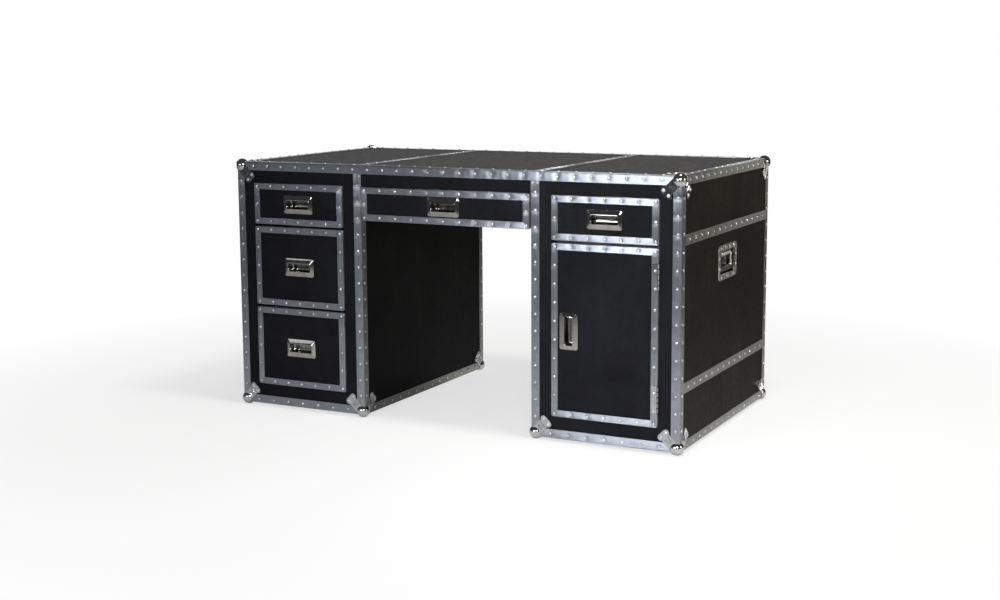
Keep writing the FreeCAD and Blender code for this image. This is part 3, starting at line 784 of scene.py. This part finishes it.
# Mitred trim on the fronts
def trim_profile(face, lip):
    """Cross-section of a front's trim as inset from the edge and level above the leather."""
    points = [(trim_wall, -lip), (0.0, -lip)]
    for step in range(round_steps + 1):
        turn = math.pi / 2 * step / round_steps
        points.append((trim_round * (1 - math.cos(turn)), face - trim_round * (1 - math.sin(turn))))
    points += [(trim_width - strip_ease, face), (trim_width, face - strip_ease), (trim_width, 0.0)]
    return points + [(trim_wall, 0.0)]


def trim_line(half_along, half_out, inset):
    """One side's line at an inset, from mitre to mitre round half of each corner."""
    radius = max(trim_corner - inset, 0.0)
    middle = max(trim_corner, inset)
    line = []
    for step in range(corner_steps + 1):
        share = 1 - step / corner_steps
        turn = math.pi / 4 * share
        along = middle - half_along - radius * math.sin(turn) + trim_mitre_gap * share
        line.append((along, half_out - middle + radius * math.cos(turn)))
    return line + [(-along, out) for along, out in reversed(line)]


def front_trim(front, body):
    """Four mitred strips round a front, with rivets in the corners and between them."""
    low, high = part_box(front + "_trim")
    leather_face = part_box(front + "_leather")[0].y
    middle = Vector(((low.x + high.x) / 2, leather_face, (low.z + high.z) / 2))
    half_wide = (high.x - low.x) / 2
    half_high = (high.z - low.z) / 2
    face = leather_face - low.y
    profile = trim_profile(face, high.y - leather_face)
    skin = Skin()
    sides = (
        (right, up, half_wide, half_high), (-up, right, half_high, half_wide),
        (-right, -up, half_wide, half_high), (up, -right, half_high, half_wide),
    )
    for along, out, half_along, half_out in sides:
        intervals = max(2, round((2 * half_along - 2 * trim_rivet_inset) / trim_rivet_pitch))
        spots = spread(intervals + 1, 2 * half_along, trim_rivet_inset)
        pitch = spots[1] - spots[0]
        lines = [trim_line(half_along, half_out, inset) for inset, level in profile]
        rings = []
        places = []
        for station in range(len(lines[0])):
            ring = []
            place = []
            for (inset, level), line in zip(profile, lines):
                run, reach = line[station]
                ring.append(middle + along * run + out * reach - back * level)
                place.append(((run + half_along - spots[0]) / pitch, inset / trim_width - 0.5))
            rings.append(ring)
            places.append(place)
        skin.tube(rings, places, standing(along))
        for spot in spots[1:-1] if standing(along) else spots:
            place = middle + along * (spot - half_along) + out * (half_out - trim_rivet_inset)
            if not under_hinge(place):
                add_rivet(body, place - back * face, -back)
    skin.piece(front + "_mitred_trim", strip_metals, body, front + "_trim")


# Hinge leaves on the door's face
def hinge_levels():
    """Heights of the middle of each hinge."""
    low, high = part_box("hinge_door_leaves")
    return low.z + hinge_high / 2, high.z - hinge_high / 2


def under_hinge(place):
    """Whether a rivet at this place would lie under a hinge leaf."""
    beside = place.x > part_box("hinge_door_leaves")[0].x
    covered = hinge_high / 2 + rivet_radius
    return beside and any(abs(place.z - level) < covered for level in hinge_levels())


def hinge_rivets():
    """Two rivets through each leaf on the door."""
    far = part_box("hinge_door_leaves")[0].x
    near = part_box("door_trim")[1].x
    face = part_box("door_trim")[0].y - hinge_leaf_thick
    for level in hinge_levels():
        for share in hinge_rivet_shares:
            add_rivet("door", Vector(((far + near) / 2, face, level + share * hinge_high)), -back)


# Ball corners
class Corner:
    """A box corner, with places given as distances inward from it along x, y and z."""

    def __init__(self, place, signs):
        self.place = place
        self.signs = signs

    def point(self, inward):
        return self.place - Vector([sign * value for sign, value in zip(self.signs, inward)])


def leg_outline():
    """A leg's outline as distance along the diagonal and across it: a neck and two round lobes."""
    start = math.sqrt(2.0) * ball_inset
    rise = leg_neck / 2 - lobe_offset
    first_turn = math.pi - math.asin(rise / lobe_radius)
    half = [(start, leg_neck / 2)]
    lobe_steps = 3 * corner_steps
    for step in range(lobe_steps + 1):
        turn = first_turn * (1 - step / lobe_steps)
        half.append((lobe_reach + lobe_radius * math.cos(turn), lobe_offset + lobe_radius * math.sin(turn)))
    return half + [(along, -across) for along, across in reversed(half)]


def drawn_in(outline, amount):
    """The outline moved inward by an even amount."""
    moved = []
    count = len(outline)
    for index in range(count):
        before = Vector(outline[index - 1])
        here = Vector(outline[index])
        after = Vector(outline[(index + 1) % count])
        first = (here - before).normalized()
        second = (after - here).normalized()
        inward = (first.orthogonal() + second.orthogonal()).normalized()
        moved.append(tuple(here - inward * amount))
    return moved


def leg_point(corner, axis, along, across, level):
    """A point of a leg on the box face that one axis crosses."""
    inward = [0.0, 0.0, 0.0]
    inward[(axis + 1) % 3] = (along + across) / math.sqrt(2.0)
    inward[(axis + 2) % 3] = (along - across) / math.sqrt(2.0)
    inward[axis] = -level
    return corner.point(inward)


def raised_bar(skin, corner, axis, along, across, height):
    """A low bar pressed up from a leg, with sloping sides."""
    rings = []
    for draw, rise in ((0.0, -leg_ease), (0.0, bar_foot_share * height), (bar_slope_share * height, height)):
        low_along, high_along = along[0] + draw, along[1] - draw
        low_across, high_across = across[0] + draw, across[1] - draw
        square = (
            (low_along, low_across), (high_along, low_across),
            (high_along, high_across), (low_along, high_across),
        )
        rings.append([leg_point(corner, axis, *pair, leg_thick + rise) for pair in square])
    skin.tube(rings, None, 1)


def corner_leg(skin, corner, axis):
    """One leg: an eased plate with pressed bars and a rivet in each lobe."""
    outline = leg_outline()
    rings = []
    for drawn, level in ((0.0, -leg_root), (0.0, leg_thick - leg_ease), (leg_ease, leg_thick)):
        shape = drawn_in(outline, drawn)
        rings.append([leg_point(corner, axis, *pair, level) for pair in shape])
    skin.tube(rings, None, 1)
    for start in bar_starts:
        sides = (-bar_half_length, bar_half_length)
        raised_bar(skin, corner, axis, (start, start + bar_width), sides, bar_height)
    for across in (-rib_pitch, 0.0, rib_pitch):
        sides = (across - bar_width / 2, across + bar_width / 2)
        raised_bar(skin, corner, axis, rib_ends, sides, rib_height)
    facing = leg_point(corner, axis, 0.0, 0.0, 1.0) - corner.place
    for across in (-lobe_offset, lobe_offset):
        spot = leg_point(corner, axis, lobe_reach, across, leg_thick)
        add_rivet("carcass", spot, facing, lobe_rivet_size)


def corner_ball(skin, corner):
    """The ball, with what lies inside the case drawn out to just under its faces."""
    axis = Vector((1.0, 1.0, 1.0)).normalized()
    side = axis.orthogonal().normalized()
    other = axis.cross(side)
    centre = Vector((ball_inset, ball_inset, ball_inset))
    rings = []
    for row in range(1, ball_rings):
        polar = math.pi * row / ball_rings
        ring = []
        for column in range(ball_segments):
            turn = 2 * math.pi * column / ball_segments
            spoke = side * math.cos(turn) + other * math.sin(turn)
            inward = centre + ball_radius * (spoke * math.sin(polar) - axis * math.cos(polar))
            nearest = min(range(3), key=lambda index: inward[index])
            inward[nearest] = min(inward[nearest], ball_sink)
            ring.append(corner.point(inward))
        rings.append(ring)
    skin.tube(rings)


def ball_corners():
    """A ball with three legs on each corner of the top and of each pedestal's foot."""
    skin = Skin()
    for x_sign in (-1, 1):
        for y_sign in (-1, 1):
            spots = (
                (x_sign * half_width, top_level, (x_sign, y_sign, 1)),
                (x_sign * half_width, foot_level, (x_sign, y_sign, -1)),
                (x_sign * knee_face, foot_level, (-x_sign, y_sign, -1)),
            )
            for x, level, signs in spots:
                corner = Corner(Vector((x, y_sign * half_depth, level)), signs)
                corner_ball(skin, corner)
                for axis in range(3):
                    corner_leg(skin, corner, axis)
    skin.piece("riveted_ball_corners", [ball_plate, leg_plate], "carcass", "ball_corners")


# Recessed pulls
def pull_levels():
    """A pull's rings: the rim and ridge round the mouth, and the cup from its back to its floor."""
    mouth_long = pull_long - 2 * pull_side_bezel
    mouth_high = pull_high - 2 * pull_top_bezel

    def ring(grow, corner, level):
        return rounded_ring(mouth_long + 2 * grow, mouth_high + 2 * grow, corner), level

    def edge(draw, level):
        return rounded_ring(pull_long - 2 * draw, pull_high - 2 * draw, pull_corner - draw), level

    bezel = [
        ring(0.0, pull_land_corner, -pull_rim),
        edge(0.0, -pull_rim),
        edge(0.0, pull_rim - pull_ease),
        edge(pull_ease, pull_rim),
        ring(pull_land + pull_ease, pull_land_corner + pull_land + pull_ease, pull_rise - pull_ease / 2),
        ring(pull_land, pull_land_corner + pull_land, pull_rise),
        ring(pull_ease, pull_land_corner + pull_ease, pull_rise),
        ring(0.0, pull_land_corner, pull_rise - pull_ease),
        ring(0.0, pull_land_corner, -pull_rim),
    ]
    cup = [
        ring(pull_wall - pull_round, pull_round, -pull_depth - pull_wall),
        ring(pull_wall, pull_land_corner + pull_wall, pull_round - pull_depth),
        ring(pull_wall, pull_land_corner + pull_wall, -pull_rim),
        ring(0.0, pull_land_corner, -pull_rim),
    ]
    for step in range(corner_steps + 1):
        turn = math.pi / 2 * step / corner_steps
        grow = -pull_round * (1 - math.cos(turn))
        corner = pull_land_corner + (pull_round - pull_land_corner) * step / corner_steps
        cup.append(ring(grow, corner, pull_round * (1 - math.sin(turn)) - pull_depth))
    return bezel, cup


def front_pull(front, body, turned):
    """A dish pull in a front, lying or turned upright."""
    low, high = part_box(front + "_pull")
    leather_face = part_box(front + "_leather")[0].y
    middle = Vector(((low.x + high.x) / 2, leather_face, (low.z + high.z) / 2))
    along, across = (up, -right) if turned else (right, up)
    skin = Skin()
    for finish, levels in enumerate(pull_levels()):
        rings = []
        for ring, level in levels:
            rings.append([middle + along * pair.x + across * pair.y - back * level for pair in ring])
        skin.tube(rings, None, finish, finish == 1)
    skin.piece(front + "_dish_pull", [pull_plate, shaded_cup_plate], body, front + "_pull")


# Carrying handles
def dish_levels(long, high):
    """A handle dish's rings from its back, round the flange, to its floor."""
    inner_long = long - 2 * dish_flange
    inner_high = high - 2 * dish_flange
    rings = []

    def ring(grow, corner, level):
        rings.append((rounded_ring(inner_long + 2 * grow, inner_high + 2 * grow, corner), level))

    ring(dish_wall - dish_round, dish_inner_corner, -dish_depth - dish_wall)
    ring(dish_wall, dish_inner_corner + dish_wall, dish_round - dish_depth)
    ring(dish_wall, dish_inner_corner + dish_wall, 0.0)
    ring(dish_flange, dish_corner, 0.0)
    ring(dish_flange, dish_corner, dish_flange_thick - dish_ease)
    ring(dish_flange - dish_ease, dish_corner - dish_ease, dish_flange_thick)
    ring(2 * dish_ease, dish_inner_corner + 2 * dish_ease, dish_flange_thick)
    ring(dish_ease / 2, dish_inner_corner + dish_ease / 2, dish_flange_thick - dish_ease)
    ring(0.0, dish_inner_corner, 0.0)
    for step in range(corner_steps + 1):
        turn = math.pi / 2 * step / corner_steps
        grow = -dish_round * (1 - math.cos(turn))
        ring(grow, dish_inner_corner, dish_round * (1 - math.sin(turn)) - dish_depth)
    return rings


def handle_dish(side, hand):
    """A flanged dish in one end, with rivets through its flange and through the strap on its floor."""
    node = side + "_handle_dish"
    low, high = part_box(node)
    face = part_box(side + "_leather")[1 if hand > 0 else 0].x
    middle = Vector((face, (low.y + high.y) / 2, (low.z + high.z) / 2))
    long = high.y - low.y
    tall = high.z - low.z
    out = hand * right
    skin = Skin()
    rings = []
    for ring, level in dish_levels(long, tall):
        rings.append([middle + back * pair.x + up * pair.y + out * level for pair in ring])
    skin.tube(rings)
    inside = dish_inner_row * len(rings[0])
    skin.finishes[inside:] = [1] * (len(skin.finishes) - inside)
    skin.piece(side + "_flanged_dish", [handle_plate, shaded_cup_plate], "carcass", node)
    line_y = (long - dish_flange) / 2
    line_z = (tall - dish_flange) / 2
    spots = [(share * line_y, line_z) for share in dish_top_shares]
    spots += [(share * line_y, -line_z) for share in dish_foot_shares]
    spots += [(sign * line_y, share * line_z) for sign in (-1, 1) for share in dish_side_shares]
    for y, z in spots:
        place = middle + back * y + up * z + out * dish_flange_thick
        add_rivet("carcass", place, out, dish_rivet_size)
    strap_low, strap_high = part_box("handle_saddles")
    floor = middle + out * (saddle_wall - dish_depth)
    for level in (strap_low.z + saddle_foot / 2, strap_high.z - saddle_foot / 2):
        for step in saddle_rivet_steps:
            place = Vector((floor.x, floor.y + step * saddle_rivet_pitch, level))
            add_rivet("carcass", place, out, saddle_rivet_size)


# The desk's pieces
for name, node in nodes.items():
    slot = next(part["material_slot"] for part in frame["record"]["subparts"] if part["node"] == name)
    node.data.materials.clear()
    node.data.materials.append(top_leather if name == "top_leather" else slot_finishes[slot])

drawer_names = (
    "left_top_drawer", "left_middle_drawer", "left_bottom_drawer", "centre_drawer", "right_drawer",
)
top_strips()
pedestal_strips(-1, "left_angles", "left_edge_strips")
pedestal_strips(1, "right_angles", "right_edge_strips")
end_bands()
ball_corners()
for drawer in drawer_names:
    front_trim(drawer, drawer)
    front_pull(drawer, drawer, False)
front_trim("door", "door")
front_pull("door", "door", True)
hinge_rivets()
handle_dish("left", -1)
handle_dish("right", 1)
heads = rivet_tree()
for body, spots in rivets.items():
    rivet_piece(body, spots, heads)


# Studio
white = (1.0, 1.0, 1.0, 1.0)
ambient_level = 0.25
room_level = 0.08
backdrop_side = Vector((-0.45, 0.89, 0.0))
backdrop_fade = (0.75, 0.95)
floor_radius = 9.0
floor_fade = (0.9, 2.2)
floor_least_white = 0.65
pool_centre = Vector((0.4, -1.1, 0.0))
pool_fade = (1.5, 4.6)

# The photo's camera
camera_place = (2.1416, -4.2349, 1.1136)
camera_azimuth = math.radians(26.998)
camera_elevation = math.radians(8.168)
camera_roll = math.radians(-0.291)
camera_sensor = 36.0
camera_lens = 53.446
camera_shift = -0.03

# Each lamp's name, place, target, width, height, watts, tint and spread in degrees
lamps = (
    ("front_box", (-0.95, -5.0, 1.25), (0.75, -0.4, 0.4), 1.2, 1.1, 7.5, (0.92, 0.96, 1.0), 42.0),
    ("fill_box", (2.0, -3.6, 1.7), (0.65, -0.4, 0.55), 0.7, 0.7, 9.0, (0.95, 0.97, 1.0), 50.0),
    ("left_box", (-3.4, -4.6, 1.2), (-0.4, -0.4, 0.5), 1.2, 1.2, 0.6, (0.94, 0.97, 1.0), 60.0),
    ("top_box", (1.0, -0.5, 3.4), (0.5, -0.1, 0.4), 0.65, 0.65, 75.0, (1.0, 0.99, 0.96), 180.0),
    ("side_box", (4.3, -0.35, 1.25), (0.7, 0.0, 0.4), 0.9, 1.1, 31.0, (1.0, 0.88, 0.7), 180.0),
    ("back_box", (1.8, 4.6, 0.9), (0.75, 0.2, 0.4), 1.0, 1.6, 5.0, (1.0, 0.93, 0.8), 180.0),
    ("rear_box", (-3.4, 3.8, 0.4), (-0.2, 0.2, 0.4), 4.2, 0.7, 12.0, (1.0, 0.98, 0.95), 60.0),
)


def ray_kinds(kit):
    """One for rays from the camera, and one for rays off metal or through glass."""
    path = kit.node("ShaderNodeLightPath", outlet="Is Camera Ray")
    return path, path.other("Is Glossy Ray").largest(path.other("Is Transmission Ray"))


def toward_backdrop(kit, place):
    """How far a place or direction goes to the backdrop's side."""
    sockets = {0: place, 1: backdrop_side}
    return kit.node("ShaderNodeVectorMath", {"operation": "DOT_PRODUCT"}, sockets, "Value")


def studio_world():
    """A white backdrop behind the desk, a dim room that metal mirrors, and an even light."""
    world = bpy.data.worlds.new("studio")
    world.use_nodes = True
    scene.world = world
    kit = Kit(world.node_tree)
    camera, mirrored = ray_kinds(kit)
    direction = kit.node("ShaderNodeTexCoord", outlet="Generated")
    backdrop = kit.remap(toward_backdrop(kit, direction), *backdrop_fade, room_level)
    strength = camera + mirrored * backdrop + (1 - camera - mirrored) * ambient_level
    kit.fill(world.node_tree.nodes["Background"], {"Color": white, "Strength": strength})


def studio_floor():
    """A pale floor that fades into the white backdrop behind and, in metal, into the dim room elsewhere."""
    finish = Finish("pale_floor")
    place = finish.place()
    distance = finish.node("ShaderNodeVectorMath", {"operation": "LENGTH"}, {0: place}, "Value")
    camera, mirrored = ray_kinds(finish)
    behind = finish.remap(toward_backdrop(finish, place) / distance, *backdrop_fade)
    away = finish.remap(distance, *floor_fade, floor_least_white)
    sockets = {0: place, 1: pool_centre}
    from_pool = finish.node("ShaderNodeVectorMath", {"operation": "DISTANCE"}, sockets, "Value")
    far_away = finish.remap(from_pool, *pool_fade)
    fade = away * (camera + mirrored * behind)
    speck = finish.noise(place, 300.0, 3.0)
    finish.surface({
        "Base Color": finish.blend(speck, (0.80, 0.80, 0.80), (0.84, 0.84, 0.84)),
        "Roughness": 0.9,
        "Specular IOR Level": 0.0,
    })
    bright = finish.node("ShaderNodeEmission", {}, {"Color": white, "Strength": 1.0})
    dim = finish.node("ShaderNodeEmission", {}, {"Color": white, "Strength": room_level})
    plain = Field(finish, finish.shader.outputs[0])
    lit = finish.node("ShaderNodeMixShader", {}, {0: fade, 1: plain, 2: bright})
    mixed = finish.node("ShaderNodeMixShader", {}, {0: mirrored * far_away * (1 - behind), 1: lit, 2: dim})
    finish.fill(finish.tree.nodes["Material Output"], {"Surface": mixed})
    mesh = bpy.data.meshes.new("floor")
    rim = []
    for step in range(floor_steps):
        turn = 2 * math.pi * step / floor_steps
        rim.append((floor_radius * math.cos(turn), floor_radius * math.sin(turn), 0.0))
    mesh.from_pydata(rim, [], [range(floor_steps)])
    mesh.materials.append(finish.material)
    floor = bpy.data.objects.new("floor", mesh)
    scene.collection.objects.link(floor)


def soft_box(name, place, target, wide, high, power, tint, spread_degrees):
    """A rectangular lamp aimed at a target."""
    light = bpy.data.lights.new(name, "AREA")
    light.shape = "RECTANGLE"
    light.size = wide
    light.size_y = high
    light.energy = power
    light.color = tint
    light.spread = math.radians(spread_degrees)
    lamp = bpy.data.objects.new(name, light)
    lamp.location = place
    lamp.rotation_euler = (Vector(target) - Vector(place)).to_track_quat("-Z", "Y").to_euler()
    scene.collection.objects.link(lamp)


def photo_camera():
    """A camera at the photo's viewing angle, turned by its azimuth, elevation and roll."""
    across, ahead = math.cos(camera_azimuth), math.sin(camera_azimuth)
    level, rise = math.cos(camera_elevation), math.sin(camera_elevation)
    sideways = Vector((across, ahead, 0.0))
    backward = Vector((ahead * level, -across * level, rise))
    upward = backward.cross(sideways)
    turned = Matrix((sideways, upward, backward)).transposed() @ Matrix.Rotation(camera_roll, 3, "Z")
    data = bpy.data.cameras.new("photo_view")
    data.sensor_width = camera_sensor
    data.lens = camera_lens
    data.shift_y = camera_shift
    camera = bpy.data.objects.new("photo_view", data)
    camera.location = camera_place
    camera.rotation_euler = turned.to_euler()
    scene.collection.objects.link(camera)
    scene.camera = camera


studio_world()
studio_floor()
for lamp in lamps:
    soft_box(*lamp)
photo_camera()
scene.view_settings.view_transform = "Standard"
